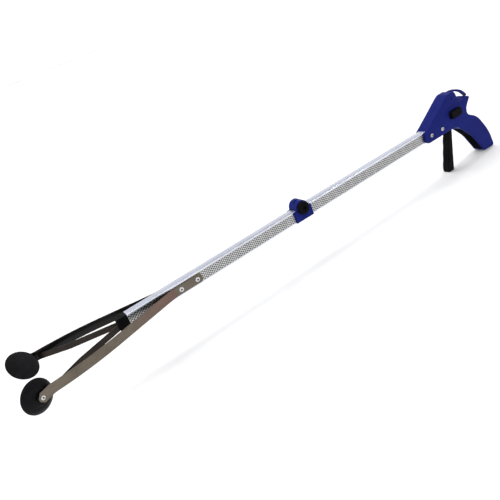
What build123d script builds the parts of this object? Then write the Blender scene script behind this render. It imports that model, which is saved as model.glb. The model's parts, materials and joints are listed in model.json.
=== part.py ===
"""Reacher grabber: pistol handle, folding aluminium shaft, and a pair of sprung jaws with rubber cups.

X runs forward along the shaft to the jaws, Y to the tool's left and Z up. The origin lies on the
shaft's axis, where the shaft leaves the front of the handle. Lengths are millimetres.
"""

import os
from math import cos, radians, sin, tan

from build123d import *

os.makedirs("parts", exist_ok=True)

# ---------------------------------------------------------------- driving dimensions

# Shaft: a rectangular aluminium tube in two halves, joined by a fold hinge.
tube_height = 17.5
tube_width = 12.6
tube_wall = 1.2
tube_corner = 1.0
rear_tube_back = -50.0
front_tube_front = 509.0
bore_height = tube_height - 2 * tube_wall
bore_width = tube_width - 2 * tube_wall
plug_slack = 0.1

# Fold hinge: the axis lies along Y, just above the shaft's top face.
fold_x = 237.5
fold_z = 9.3
barrel_radius = 10.0
barrel_clearance = 0.3
hinge_half_width = 8.8
hinge_body_length = 10.5
hinge_lip_length = 4.0
hinge_plug_length = 20.0
abutment_gap = 0.3
cheek_inner = 5.1
knuckle_outer = 4.8
cable_slot_half = 1.3
hub_radius = 3.6
fold_bolt_radius = 2.5
knob_radius = 8.8
knob_back = 9.1
knob_front = 14.2
knob_socket_depth = 2.2
seam_chamfer = 0.5

# Pull line: it runs above the through screws and below the fold bolt.
pull_z = 4.0
rod_radius = 1.2
cable_radius = 1.0
cable_hole_radius = 1.6
ferrule_radius = 1.9
ferrule_length = 10.0
rear_ferrule_x = 194.0
front_ferrule_x = 274.5
running_clearance = 0.05

# Handle: two half shells that part on the plane Y = 0.
shell_half_width = 11.0
shell_wall = 2.2
shell_edge_round = 1.8
parting_groove = 0.3
loop_half_width = 2.4
clamp_back = -52.0
screw_places = [(-16.0, -1.0), (-40.0, -1.0)]
screw_radius = 1.7
screw_head_radius = 3.2
screw_recess = 1.2
nut_radius = 3.5
nut_depth = 2.4

# Trigger: it hangs from a pin near the top of the handle and swings back towards the grip.
pivot_x = -71.0
pivot_z = 35.0
pivot_pin_radius = 2.0
trigger_swing = 10.5
finger_pockets = [(-43.0, -20.0), (-67.0, -46.0)]
trigger_half_width = 6.2
fork_half_width = 4.5
web_half_width = 2.4
rod_end_x = -63.2
rod_end_pin_radius = 1.5

# Lock button: a block that pushes into the left shell and pegs the trigger.
lock_x = -69.4
lock_z = 12.2
lock_length = 21.2
lock_height = 11.2
lock_outer = 17.5
lock_inner = 6.4
lock_peg_x = -67.6
lock_peg_radius = 1.2

# Jaw arms: spring-steel strips riveted to the tube's sides.
strip_bottom = -6.7
strip_width = 12.5
strip_thickness = 1.0
strip_middle_z = strip_bottom + strip_width / 2
arm_back = 404.5
arm_bend_x = 447.0
arm_slope = 16.2
arm_pivot_x = 470.0
arm_straight_end_x = 535.0
arm_tip = (618.0, 45.7)
arm_seam = 0.6
rivet_places = [(412.0, strip_middle_z), (436.0, strip_middle_z)]
rivet_radius = 1.6
tab_length = 19.0
tab_flare = 26.0
tab_chamfer = 4.2

# Rubber cups, measured outwards from the rivet and inwards from the tab's inner face.
cup_rivet_along = 14.4
cup_radius = 19.6
cup_depth = 10.3
cup_hub_radius = 9.5
cup_neck_radius = 4.2
cup_bore_radius = 2.2
cup_cavity_radius = 3.8
cup_cavity_top = 6.05

# Inner links: steel strips from the pull line's yoke to the arms' tips.
link_width = 7.8
link_middle_z = -1.8
link_thickness = 0.8
yoke_pin_x = 513.0
yoke_pin_radius = 1.0
eye_outer_radius = 2.9
eye_inner_radius = 2.0

left, right = 1, -1


def write(part, name):
    """Label a finished piece and write it as one STEP file."""
    part.label = name
    export_step(part, f"parts/{name}.step")


def side_plane(y):
    """The side-view plane at one Y, with X across the sketch and Z up it."""
    return Plane.XZ.offset(-y)


def lathe_plane(origin, direction):
    """A plane whose second axis lies along a horizontal direction and whose first points up."""
    return Plane(origin, x_dir=(0, 0, 1), z_dir=Vector(0, 0, 1).cross(Vector(*direction)))


def domed_pin(origin, direction, shank_radius, shank_length, head_radius, head_height):
    """A shank that runs back from the origin, with a domed head standing on it."""
    with BuildPart() as pin:
        with BuildSketch(lathe_plane(origin, direction)):
            with BuildLine():
                Polyline(
                    (0, head_height),
                    (0, -shank_length),
                    (shank_radius, -shank_length),
                    (shank_radius, 0),
                    (head_radius, 0),
                )
                TangentArc((0, head_height), (head_radius, 0), tangent=(1, 0))
            make_face()
        revolve(axis=Axis(origin, direction))
    return pin.part


# ---------------------------------------------------------------- shaft tubes

rear_block_back = fold_x - hinge_body_length
front_block_front = fold_x + hinge_body_length


def shaft_tube(back, front, holes, hole_radius):
    """A length of rounded rectangular tube along X, drilled across through both sides."""
    with BuildPart() as tube:
        with BuildSketch(Plane.YZ.offset(back)):
            RectangleRounded(tube_width, tube_height, tube_corner)
            Rectangle(bore_width, bore_height, mode=Mode.SUBTRACT)
        extrude(amount=front - back)
        with BuildSketch(Plane.XZ):
            with Locations(*holes):
                Circle(hole_radius)
        extrude(amount=tube_width, both=True, mode=Mode.SUBTRACT)
    return tube.part


write(shaft_tube(rear_tube_back, rear_block_back, screw_places, screw_radius), "rear_tube")
write(shaft_tube(front_block_front, front_tube_front, rivet_places, rivet_radius), "front_tube")


# ---------------------------------------------------------------- handle shells

# Each corner of the side outline, then its radius.
handle_corners = {
    (-2.0, 5.0): 9.0,
    (-2.0, -10.5): 8.5,
    (-71.5, -10.5): 20.0,
    (-100.5, -39.5): 70.0,
    (-122.0, -74.2): 3.0,
    (-146.2, -75.0): 4.0,
    (-139.0, -46.0): 90.0,
    (-119.0, -13.5): 40.0,
    (-98.0, -2.0): 10.0,
    (-98.0, 9.0): 14.0,
    (-111.6, 25.4): 2.5,
    (-86.3, 22.8): 3.0,
    (-78.4, 43.5): 5.5,
    (-62.5, 43.5): 14.0,
}
pad_path = [(-81.1, -18.3), (-101.55, -38.9), (-121.1, -70.3)]
pad_thickness = 3.0
pad_half_width = 8.0


def handle_face(inset=0):
    """The handle's side outline as a face, optionally shrunk all round."""
    with BuildSketch(Plane.XZ) as face:
        with BuildLine():
            FilletPolyline(*handle_corners, radius=list(handle_corners.values()), close=True)
        make_face()
        if inset:
            offset(amount=-inset)
    return face.sketch


def pad_band(width):
    """A band of one width along the front of the grip, as a face."""
    with BuildSketch(Plane.XZ) as band:
        with BuildLine():
            FilletPolyline(*pad_path, radius=71)
        trace(line_width=width)
    return band.sketch


def outer_skin(side):
    """The solid half handle, with the thin arch of the hanging loop behind its head."""
    with BuildPart() as skin:
        with BuildSketch(Plane.XZ):
            add(handle_face())
        extrude(amount=-side * shell_half_width)
        ends = faces().sort_by(Axis.Y)
        outer_face = ends[-1] if side > 0 else ends[0]
        fillet(outer_face.edges(), shell_edge_round)
        ends = faces().sort_by(Axis.Y)
        parting_face = ends[0] if side > 0 else ends[-1]
        chamfer(parting_face.edges(), parting_groove)
        with BuildSketch(Plane.XZ):
            with BuildLine():
                CenterArc((-77.2, 1.2), 41.1, 84, 62)
            trace(line_width=3.2)
        extrude(amount=-side * loop_half_width)
    return skin.part


def inner_hollow(side):
    """The hollow of a half handle, clear of the tube's clamp and of the band behind the pad."""
    with BuildPart() as hollow:
        with BuildSketch(Plane.XZ):
            add(handle_face(shell_wall))
            add(pad_band(8.6), mode=Mode.SUBTRACT)
            with Locations((clamp_back / 2, 0)):
                Rectangle(-clamp_back, tube_height + 4.4, mode=Mode.SUBTRACT)
        extrude(amount=-side * (shell_half_width - shell_wall))
    return hollow.part


def seats(side):
    """The room for the tube, for the trigger below the tube and for the grip pad."""
    with BuildPart() as cut:
        with BuildSketch(Plane.XZ):
            with Locations((-22.5, 0)):
                Rectangle(56.0, tube_height)
        extrude(amount=-side * tube_width / 2)
        with BuildSketch(Plane.XZ):
            with Locations((rear_tube_back - 1.5, 0)):
                Rectangle(4.0, bore_height)
        extrude(amount=-side * bore_width / 2)
        with BuildSketch(Plane.XZ):
            with Locations((-64.3, -12.0)):
                Rectangle(22.4, 12.0)
        extrude(amount=-side * (trigger_half_width + 0.7))
        with BuildSketch(Plane.XZ):
            add(pad_band(pad_thickness))
        extrude(amount=-side * pad_half_width)
    return cut.part


def pivot_boss(side):
    """The boss that flanks the trigger's eye."""
    boss_face = web_half_width + 0.4
    with BuildPart() as boss:
        with BuildSketch(side_plane(side * boss_face)):
            with Locations((pivot_x, pivot_z)):
                Circle(4.4)
        extrude(amount=-side * (shell_half_width - shell_wall - boss_face + 0.2))
    return boss.part


def half_handle(side):
    """Skin, hollow, seats and boss of one half, drilled for the pin and the screws."""
    with BuildPart() as half:
        add(outer_skin(side))
        add(inner_hollow(side), mode=Mode.SUBTRACT)
        add(seats(side), mode=Mode.SUBTRACT)
        add(pivot_boss(side))
        with BuildSketch(Plane.XZ):
            with Locations((pivot_x, pivot_z)):
                Circle(pivot_pin_radius)
            with Locations(*screw_places):
                Circle(screw_radius)
        extrude(amount=-side * (shell_half_width + 1), mode=Mode.SUBTRACT)
    return half.part


with BuildPart() as left_handle_shell:
    add(half_handle(left))
    # Window for the lock button, and shallow seats for the screw heads.
    with BuildSketch(Plane.XZ):
        with Locations((lock_x, lock_z)):
            RectangleRounded(lock_length + 0.7, lock_height + 0.7, 1.2)
    extrude(amount=-2 * shell_half_width, mode=Mode.SUBTRACT)
    with BuildSketch(side_plane(shell_half_width - screw_recess)):
        with Locations(*screw_places):
            Circle(screw_head_radius + 0.4)
    extrude(amount=-2 * screw_recess, mode=Mode.SUBTRACT)
write(left_handle_shell.part, "left_handle_shell")

with BuildPart() as right_handle_shell:
    add(half_handle(right))
    # Hexagonal pockets hold the nuts.
    with BuildSketch(side_plane(-shell_half_width + nut_depth + 0.2)):
        with Locations(*screw_places):
            RegularPolygon(nut_radius + 0.1, 6)
    extrude(amount=2 * nut_depth, mode=Mode.SUBTRACT)
write(right_handle_shell.part, "right_handle_shell")

with BuildPart() as grip_pad:
    with BuildSketch(Plane.XZ):
        add(pad_band(pad_thickness))
    extrude(amount=pad_half_width, both=True)
    long_edges = edges().filter_by(lambda edge: edge.length > 20)
    fillet(long_edges.sort_by(lambda edge: edge.center().X - edge.center().Z)[-2:], 0.7)
write(grip_pad.part, "grip_pad")


# ---------------------------------------------------------------- handle fasteners

screw_head_y = shell_half_width - screw_recess
screw_end_y = -shell_half_width + 0.8

with BuildPart() as handle_screws:
    for x, z in screw_places:
        add(
            domed_pin(
                (x, screw_head_y, z),
                (0, 1, 0),
                screw_radius,
                screw_head_y - screw_end_y,
                screw_head_radius,
                1.9,
            )
        )
write(handle_screws.part, "handle_screws")

with BuildPart() as handle_nuts:
    with BuildSketch(side_plane(-shell_half_width + nut_depth + 0.2)):
        with Locations(*screw_places):
            RegularPolygon(nut_radius, 6)
            Circle(screw_radius, mode=Mode.SUBTRACT)
    extrude(amount=nut_depth)
write(handle_nuts.part, "handle_nuts")

with BuildPart() as trigger_pivot_pin:
    add(
        domed_pin(
            (pivot_x, shell_half_width, pivot_z),
            (0, 1, 0),
            pivot_pin_radius,
            2 * shell_half_width,
            2.7,
            1.8,
        )
    )
write(trigger_pivot_pin.part, "trigger_pivot_pin")


# ---------------------------------------------------------------- trigger


def swung(x, z, degrees):
    """A side-view point turned about the trigger's pivot; positive swings the finger end back."""
    dx = x - pivot_x
    dz = z - pivot_z
    turn = radians(degrees)
    return (pivot_x + dx * cos(turn) + dz * sin(turn), pivot_z - dx * sin(turn) + dz * cos(turn))


released_hole = (lock_peg_x, lock_z)
squeezed_hole = swung(lock_peg_x, lock_z, -trigger_swing)


def lever_middle(z):
    """The floor of the finger lever's rear channel at one height."""
    return -56.2 - (z + 20.0) * 0.22


def finger_lever():
    """The part the fingers pull: waved in front, open behind between two walls and a rib."""
    with BuildPart() as lever:
        with BuildSketch(Plane.XZ):
            with BuildLine():
                Polyline(
                    (-57.0, -6.0),
                    (-66.2, -6.0),
                    (-63.2, -14.0),
                    (-57.4, -44.0),
                    (-52.6, -71.0),
                    (-51.9, -75.6),
                    (-40.2, -75.6),
                    (-40.4, -70.0),
                )
                Spline(
                    (-40.4, -70.0),
                    (-41.0, -65.0),
                    (-44.7, -54.5),
                    (-46.1, -47.0),
                    (-49.6, -36.0),
                    (-51.2, -27.5),
                    (-55.4, -17.0),
                    (-57.0, -6.0),
                )
            make_face()
        extrude(amount=trigger_half_width, both=True)
        fillet(edges().filter_by(Axis.Y).group_by(Axis.Z)[0], 2.0)
        fillet(faces().filter_by(Axis.Y).edges(), 1.3)
        for low, high in finger_pockets:
            with BuildSketch(Plane.XZ):
                with BuildLine():
                    Polyline(
                        (lever_middle(high), high),
                        (lever_middle(low), low),
                        (lever_middle(low) - 20, low),
                        (lever_middle(high) - 20, high),
                        (lever_middle(high), high),
                    )
                make_face()
            extrude(amount=trigger_half_width - 1.8, both=True, mode=Mode.SUBTRACT)
    return lever.part


with BuildPart() as trigger:
    # Eye and web, thin enough to pass between the pivot bosses.
    with BuildSketch(Plane.XZ):
        with Locations((pivot_x, pivot_z)):
            Circle(5)
        with BuildLine():
            Polyline(
                (-75.9, 34.0),
                (-71.2, 8.0),
                (-69.8, 5.0),
                (-58.6, 5.0),
                (-59.4, 14.0),
                (-66.3, 36.8),
                (-75.9, 34.0),
            )
        make_face()
    extrude(amount=web_half_width, both=True)
    # The wider fork that takes the rod's end pin.
    with BuildSketch(Plane.XZ):
        with BuildLine():
            Polyline((-69.8, 6.2), (-66.2, -8.0), (-57.4, -8.0), (-58.6, 6.2), (-69.8, 6.2))
        make_face()
    extrude(amount=fork_half_width, both=True)
    add(finger_lever())
    # Gap for the rod, slot for its end pin, pivot hole and the two lock holes.
    with BuildSketch(Plane.XZ):
        with Locations((-59.0, 4.3)):
            Rectangle(16.0, 7.8)
    extrude(amount=rod_radius + 0.4, both=True, mode=Mode.SUBTRACT)
    with BuildSketch(Plane.XZ):
        with Locations(Location((rod_end_x - 0.1, pull_z + 0.45), 90 + 14.1)):
            SlotCenterToCenter(1.2, 2 * rod_end_pin_radius + 0.3)
        with Locations((pivot_x, pivot_z)):
            Circle(pivot_pin_radius + running_clearance)
        with Locations(released_hole, squeezed_hole):
            Circle(lock_peg_radius + 0.4)
    extrude(amount=trigger_half_width, both=True, mode=Mode.SUBTRACT)
write(trigger.part, "trigger")


# ---------------------------------------------------------------- lock button

with BuildPart() as lock_button:
    with BuildSketch(side_plane(lock_inner)):
        with Locations((lock_x, lock_z)):
            RectangleRounded(lock_length, lock_height, 0.9)
    extrude(amount=-(lock_outer - lock_inner))
    fillet(faces().sort_by(Axis.Y)[-1].edges(), 0.6)
    # Flange that keeps it inside the shell, and the peg that enters the trigger.
    with BuildSketch(side_plane(lock_inner)):
        with Locations((lock_x, lock_z + 1.3)):
            Rectangle(lock_length + 6.0, 8.0)
    extrude(amount=-1.6)
    with BuildSketch(side_plane(lock_inner)):
        with Locations((lock_peg_x, lock_z)):
            Circle(lock_peg_radius)
    extrude(amount=lock_inner - web_half_width - 0.3)
write(lock_button.part, "lock_button")


# ---------------------------------------------------------------- fold hinge


def hinge_body(side):
    """One end fitting: a body at the abutment, side lips over the tube and a plug inside it."""
    with BuildPart() as body:
        with BuildSketch(Plane.XY.offset(-tube_height / 2)):
            with Locations((fold_x + side * (abutment_gap + hinge_body_length) / 2, 0)):
                Rectangle(hinge_body_length - abutment_gap, 2 * hinge_half_width)
        extrude(amount=tube_height / 2 + fold_z)
        fillet(edges().filter_by(Axis.X).group_by(Axis.Z)[0], 1.5)
        seam = edges().filter_by(Axis.Z).sort_by(lambda edge: abs(edge.center().X - fold_x))
        chamfer(seam[:2], seam_chamfer)
        with BuildSketch(Plane.XY.offset(-tube_height / 2 + 0.6)):
            with Locations((fold_x + side * (hinge_body_length + hinge_lip_length / 2), 0)):
                Rectangle(hinge_lip_length, 2 * hinge_half_width)
                Rectangle(hinge_lip_length, tube_width, mode=Mode.SUBTRACT)
        extrude(amount=tube_height - 1.2)
        with BuildSketch(Plane.YZ.offset(fold_x + side * hinge_body_length)):
            Rectangle(bore_width - 2 * plug_slack, bore_height - 2 * plug_slack)
        extrude(amount=side * hinge_plug_length)
    return body.part


def ring_pair(inner, outer, radius):
    """A pair of discs about the fold axis, between two distances from Y = 0 on each side."""
    with BuildPart() as rings:
        for side in (left, right):
            with BuildSketch(side_plane(side * inner)):
                with Locations((fold_x, fold_z)):
                    Circle(radius)
            extrude(amount=-side * (outer - inner))
    return rings.part


def hinge_holes():
    """The bolt's hole across the hinge and the cable's hole along it."""
    with BuildPart() as holes:
        with BuildSketch(Plane.XZ):
            with Locations((fold_x, fold_z)):
                Circle(fold_bolt_radius + running_clearance)
        extrude(amount=2 * hinge_half_width, both=True)
        with BuildSketch(Plane.YZ.offset(fold_x)):
            with Locations((0, pull_z)):
                Circle(cable_hole_radius)
        extrude(amount=50, both=True)
    return holes.part


with BuildPart() as rear_hinge_block:
    add(hinge_body(-1))
    add(ring_pair(0, cheek_inner, barrel_radius + barrel_clearance), mode=Mode.SUBTRACT)
    add(ring_pair(cheek_inner, hinge_half_width, barrel_radius))
    add(hinge_holes(), mode=Mode.SUBTRACT)
write(rear_hinge_block.part, "rear_hinge_block")

with BuildPart() as front_hinge_block:
    add(hinge_body(1))
    cheek_room = ring_pair(knuckle_outer, hinge_half_width + 1, barrel_radius + barrel_clearance)
    add(cheek_room, mode=Mode.SUBTRACT)
    add(ring_pair(cable_slot_half, knuckle_outer, barrel_radius))
    # Central slot that lets the cable bend with the fold, with a hub and a closed sector in it.
    add(ring_pair(0, cable_slot_half, barrel_radius + barrel_clearance), mode=Mode.SUBTRACT)
    add(ring_pair(0, cable_slot_half, hub_radius))
    with BuildSketch(Plane.XZ):
        with Locations((fold_x, fold_z)):
            Circle(barrel_radius)
            with BuildLine():
                Polyline(
                    (fold_x, fold_z),
                    (fold_x + 19.3, fold_z - 5.2),
                    (fold_x + 12.9, fold_z + 15.3),
                    (fold_x, fold_z),
                )
            make_face(mode=Mode.INTERSECT)
    extrude(amount=cable_slot_half, both=True)
    add(hinge_holes(), mode=Mode.SUBTRACT)
write(front_hinge_block.part, "front_hinge_block")

with BuildPart() as hinge_bolt:
    add(
        domed_pin(
            (fold_x, -hinge_half_width, fold_z),
            (0, -1, 0),
            fold_bolt_radius,
            knob_front - knob_socket_depth - 1.4 + hinge_half_width,
            5.5,
            2.6,
        )
    )
write(hinge_bolt.part, "hinge_bolt")

with BuildPart() as hinge_knob:
    with BuildSketch(side_plane(knob_back)):
        with Locations((fold_x, fold_z)):
            Circle(knob_radius)
    extrude(amount=-(knob_front - knob_back))
    fillet(faces().sort_by(Axis.Y)[-1].edges(), 1.4)
    # Hexagonal socket in the outer face, and the bolt's bore.
    with BuildSketch(side_plane(knob_front - knob_socket_depth)):
        with Locations((fold_x, fold_z)):
            RegularPolygon(3.3, 6)
    extrude(amount=-2 * knob_socket_depth, mode=Mode.SUBTRACT)
    with BuildSketch(side_plane(knob_back)):
        with Locations((fold_x, fold_z)):
            Circle(fold_bolt_radius + running_clearance)
    extrude(amount=-(knob_front - knob_back - knob_socket_depth - 1.2), mode=Mode.SUBTRACT)
write(hinge_knob.part, "hinge_knob")


# ---------------------------------------------------------------- pull line


def line_rod(back, front, radius):
    """A round rod on the pull line."""
    with BuildPart() as rod:
        with BuildSketch(Plane.YZ.offset(back)):
            with Locations((0, pull_z)):
                Circle(radius)
        extrude(amount=front - back)
    return rod.part


def ferrule(back, rear_bore, front_bore):
    """A crimped sleeve bored to a different size from each end, meeting in the middle."""
    with BuildPart() as sleeve:
        with BuildSketch(Plane.YZ.offset(back)):
            with Locations((0, pull_z)):
                Circle(ferrule_radius)
                Circle(rear_bore, mode=Mode.SUBTRACT)
        extrude(amount=ferrule_length / 2)
        with BuildSketch(Plane.YZ.offset(back + ferrule_length / 2)):
            with Locations((0, pull_z)):
                Circle(ferrule_radius)
                Circle(front_bore, mode=Mode.SUBTRACT)
        extrude(amount=ferrule_length / 2)
    return sleeve.part


rear_joint_x = rear_ferrule_x + ferrule_length / 2
front_joint_x = front_ferrule_x + ferrule_length / 2
yoke_back = 504.0
yoke_front = 516.4
yoke_half_width = 3.2
yoke_top = 3.1
yoke_bottom = -6.2
yoke_plate = 1.0

# The rear rod ends in a flattened eye round the end pin.
with BuildPart() as rear_pull_rod:
    add(line_rod(rod_end_x, rear_joint_x, rod_radius))
    with BuildSketch(Plane.XZ):
        with Locations((rod_end_x, pull_z)):
            Circle(rod_end_pin_radius + 1.4)
    extrude(amount=rod_radius, both=True)
    with BuildSketch(Plane.XZ):
        with Locations((rod_end_x, pull_z)):
            Circle(rod_end_pin_radius)
    extrude(amount=5, both=True, mode=Mode.SUBTRACT)
write(rear_pull_rod.part, "rear_pull_rod")
write(ferrule(rear_ferrule_x, rod_radius, cable_radius + running_clearance), "rear_ferrule")
write(line_rod(rear_joint_x + 0.3, front_joint_x, cable_radius), "hinge_cable")
write(ferrule(front_ferrule_x, cable_radius, rod_radius), "front_ferrule")
write(line_rod(front_joint_x, yoke_back, rod_radius), "front_pull_rod")

with BuildPart() as rod_end_pin:
    with BuildSketch(Plane.XZ):
        with Locations((rod_end_x, pull_z)):
            Circle(rod_end_pin_radius)
    extrude(amount=fork_half_width - 0.3, both=True)
write(rod_end_pin.part, "rod_end_pin")

with BuildPart() as yoke:
    with BuildSketch(Plane.XZ):
        with BuildLine():
            Polyline(
                (yoke_back, pull_z + 1.6),
                (yoke_back, yoke_bottom),
                (yoke_front, yoke_bottom),
                (yoke_front, yoke_bottom + yoke_plate),
                (yoke_back + 1.2, yoke_bottom + yoke_plate),
                (yoke_back + 1.2, yoke_top - yoke_plate),
                (yoke_front, yoke_top - yoke_plate),
                (yoke_front, yoke_top),
                (yoke_back + 1.2, yoke_top),
                (yoke_back + 1.2, pull_z + 1.6),
                (yoke_back, pull_z + 1.6),
            )
        make_face()
    extrude(amount=yoke_half_width, both=True)
    with BuildSketch(Plane.XY.offset(-10)):
        with Locations((yoke_pin_x, 0)):
            Circle(yoke_pin_radius)
    extrude(amount=20, mode=Mode.SUBTRACT)
write(yoke.part, "yoke")

with BuildPart() as yoke_pin:
    with BuildSketch(Plane.XY.offset(yoke_bottom)):
        with Locations((yoke_pin_x, 0)):
            Circle(yoke_pin_radius)
    extrude(amount=yoke_top - yoke_bottom)
    with BuildSketch(Plane.XY.offset(yoke_top)):
        with Locations((yoke_pin_x, 0)):
            Circle(1.7)
    extrude(amount=0.6)
write(yoke_pin.part, "yoke_pin")


# ---------------------------------------------------------------- end cap

cap_front = 522.6

with BuildPart() as end_cap:
    with BuildSketch(Plane.YZ.offset(front_tube_front)):
        RectangleRounded(tube_width + 0.1, tube_height + 0.1, tube_corner)
    extrude(amount=cap_front - front_tube_front)
    fillet(faces().sort_by(Axis.X)[-1].edges(), 0.8)
    with BuildSketch(Plane.YZ.offset(front_tube_front - 12)):
        Rectangle(bore_width - 2 * plug_slack, bore_height - 2 * plug_slack)
    extrude(amount=12)
    with BuildSketch(Plane.XY.offset(-6.6)):
        with BuildLine():
            Polyline(
                (front_tube_front - 13, -4.2),
                (yoke_pin_x, -4.2),
                (cap_front + 1, -5.5),
                (cap_front + 1, 5.5),
                (yoke_pin_x, 4.2),
                (front_tube_front - 13, 4.2),
                (front_tube_front - 13, -4.2),
            )
        make_face()
    extrude(amount=13.2, mode=Mode.SUBTRACT)
write(end_cap.part, "end_cap")


# ---------------------------------------------------------------- arms

strip_y = tube_width / 2 + strip_thickness / 2
slope = tan(radians(arm_slope))
straight_end = (arm_straight_end_x, strip_y + (arm_straight_end_x - arm_bend_x) * slope)
arm_pivot_y = strip_y + (arm_pivot_x - arm_bend_x) * slope
slope_direction = (cos(radians(arm_slope)), sin(radians(arm_slope)))
flare = radians(tab_flare)
tab_end = (arm_tip[0] + tab_length * cos(flare), arm_tip[1] + tab_length * sin(flare))


def on_slope(x):
    """The point of the arm's straight run at one X."""
    return (x, strip_y + (x - arm_bend_x) * slope)


def tab_point(along, inward):
    """A point along the tab's middle line and some way towards the jaws' centre, at strip height."""
    x = arm_tip[0] + along * cos(flare) + inward * sin(flare)
    y = arm_tip[1] + along * sin(flare) - inward * cos(flare)
    return (x, y, strip_middle_z)


with BuildPart() as left_arm_root:
    with BuildSketch(Plane.XY.offset(strip_bottom)):
        with BuildLine():
            root_end = on_slope(arm_pivot_x - arm_seam / 2)
            FilletPolyline((arm_back, strip_y), (arm_bend_x, strip_y), root_end, radius=5)
        trace(line_width=strip_thickness)
    extrude(amount=strip_width)
    # The rear end is cut to a shallow arc, and the rivets go through.
    with BuildSketch(Plane.XZ):
        with BuildLine():
            ThreePointArc(
                (arm_back + 2.6, strip_bottom - 0.1),
                (arm_back, strip_middle_z),
                (arm_back + 2.6, strip_bottom + strip_width + 0.1),
            )
            Polyline(
                (arm_back + 2.6, strip_bottom + strip_width + 0.1),
                (arm_back - 2, strip_bottom + strip_width + 0.1),
                (arm_back - 2, strip_bottom - 0.1),
                (arm_back + 2.6, strip_bottom - 0.1),
            )
        make_face()
        with Locations(*rivet_places):
            Circle(rivet_radius)
    extrude(amount=20, both=True, mode=Mode.SUBTRACT)
write(left_arm_root.part, "left_arm_root")
right_arm_root = mirror(left_arm_root.part, about=Plane.XZ)
write(right_arm_root, "right_arm_root")

with BuildPart() as left_arm:
    with BuildSketch(Plane.XY.offset(strip_bottom)):
        with BuildLine() as arm_line:
            Line(on_slope(arm_pivot_x + arm_seam / 2), straight_end)
            TangentArc(straight_end, arm_tip, tangent=slope_direction)
            Line(arm_tip, tab_end)
            fillet(vertices().sort_by_distance(arm_tip)[0], 4)
        trace(line_width=strip_thickness)
    extrude(amount=strip_width)
    tab_corners = edges().filter_by(lambda edge: abs(edge.length - strip_thickness) < 0.01)
    chamfer(tab_corners.sort_by(Axis.X)[-2:], tab_chamfer)
    tab_plane = Plane(tab_point(cup_rivet_along, 0), x_dir=(0, 0, 1), z_dir=(sin(flare), -cos(flare), 0))
    with BuildSketch(tab_plane):
        Circle(1.5)
    extrude(amount=2, both=True, mode=Mode.SUBTRACT)
write(left_arm.part, "left_arm")
right_arm = mirror(left_arm.part, about=Plane.XZ)
write(right_arm, "right_arm")

with BuildPart() as arm_rivets:
    for side in (left, right):
        for x, z in rivet_places:
            add(
                domed_pin(
                    (x, side * (tube_width / 2 + strip_thickness), z),
                    (0, side, 0),
                    rivet_radius,
                    4.2,
                    3.2,
                    1.4,
                )
            )
write(arm_rivets.part, "arm_rivets")


# ---------------------------------------------------------------- cups

inwards = (sin(flare), -cos(flare), 0)
cup_origin = tab_point(cup_rivet_along, strip_thickness / 2)
tail_depth = 4.7

with BuildPart() as left_cup_rivet:
    add(
        domed_pin(
            tab_point(cup_rivet_along, -strip_thickness / 2),
            (-sin(flare), cos(flare), 0),
            1.5,
            strip_thickness + tail_depth,
            2.6,
            1.1,
        )
    )
    with BuildSketch(Plane(cup_origin, x_dir=(0, 0, 1), z_dir=inwards).offset(tail_depth)):
        Circle(2.6)
    extrude(amount=0.6)
write(left_cup_rivet.part, "left_cup_rivet")
right_cup_rivet = mirror(left_cup_rivet.part, about=Plane.XZ)
write(right_cup_rivet, "right_cup_rivet")

with BuildPart() as left_cup:
    with BuildSketch(lathe_plane(cup_origin, inwards)):
        with BuildLine():
            Polyline(
                (cup_bore_radius, 3.9),
                (cup_bore_radius, 1.15),
                (cup_neck_radius, 1.15),
                (cup_neck_radius, 2.9),
                (cup_hub_radius, 2.9),
            )
            ThreePointArc((cup_hub_radius, 2.9), (15.3, 5.4), (cup_radius - 0.1, cup_depth - 0.9))
            Line((cup_radius - 0.1, cup_depth - 0.9), (cup_radius, cup_depth))
            Line((cup_radius, cup_depth), (cup_radius - 1.0, cup_depth))
            ThreePointArc((cup_radius - 1.0, cup_depth), (12.2, 8.0), (cup_cavity_radius, 6.8))
            # The closed cavity in the hub holds the rivet's tail.
            Polyline(
                (cup_cavity_radius, 6.8),
                (0, 6.8),
                (0, cup_cavity_top),
                (cup_cavity_radius, cup_cavity_top),
                (cup_cavity_radius, 3.9),
                (cup_bore_radius, 3.9),
            )
        make_face()
    revolve(axis=Axis(cup_origin, inwards))
    # Four shallow dimples round the back.
    with BuildSketch(Plane(cup_origin, x_dir=(0, 0, 1), z_dir=inwards)):
        with PolarLocations(14.5, 4):
            Circle(0.9)
    extrude(amount=5.7, mode=Mode.SUBTRACT)
write(left_cup.part, "left_cup")
right_cup = mirror(left_cup.part, about=Plane.XZ)
write(right_cup, "right_cup")


# ---------------------------------------------------------------- links


def link(side, eye_bottom, eye_top):
    """A bent strip with a foot along the arm, a narrow neck and an eye on the yoke's pin."""
    start = (yoke_pin_x + 2.2, side * 1.2)
    with BuildPart() as strip:
        with BuildSketch(Plane.XY.offset(link_middle_z - link_width / 2)):
            with BuildLine():
                FilletPolyline(
                    (yoke_pin_x + 8.5, side * 3.65),
                    (580.0, side * 24.6),
                    (615.2, side * 44.1),
                    (618.2, side * 44.2),
                    radius=[60, 3],
                )
            trace(line_width=link_thickness)
        extrude(amount=link_width)
        with BuildSketch(Plane.XY.offset(eye_bottom)):
            with Locations((yoke_pin_x, 0)):
                Circle(eye_outer_radius)
            with BuildLine():
                Line(start, (yoke_pin_x + 12.5, side * 5.08))
            trace(line_width=link_thickness)
            with Locations((yoke_pin_x, 0)):
                Circle(eye_inner_radius, mode=Mode.SUBTRACT)
        extrude(amount=eye_top - eye_bottom)
    return strip.part


write(link(left, -1.4, 1.7), "left_link")
write(link(right, -4.9, -1.8), "right_link")
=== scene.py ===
"""Looks of the reacher grabber: knurled shaft, moulded handle, steel strips and rubber cups.

Lengths are metres in the part's frame: X forward along the shaft, Y to the tool's left, Z up.
"""

import json
import math

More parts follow.
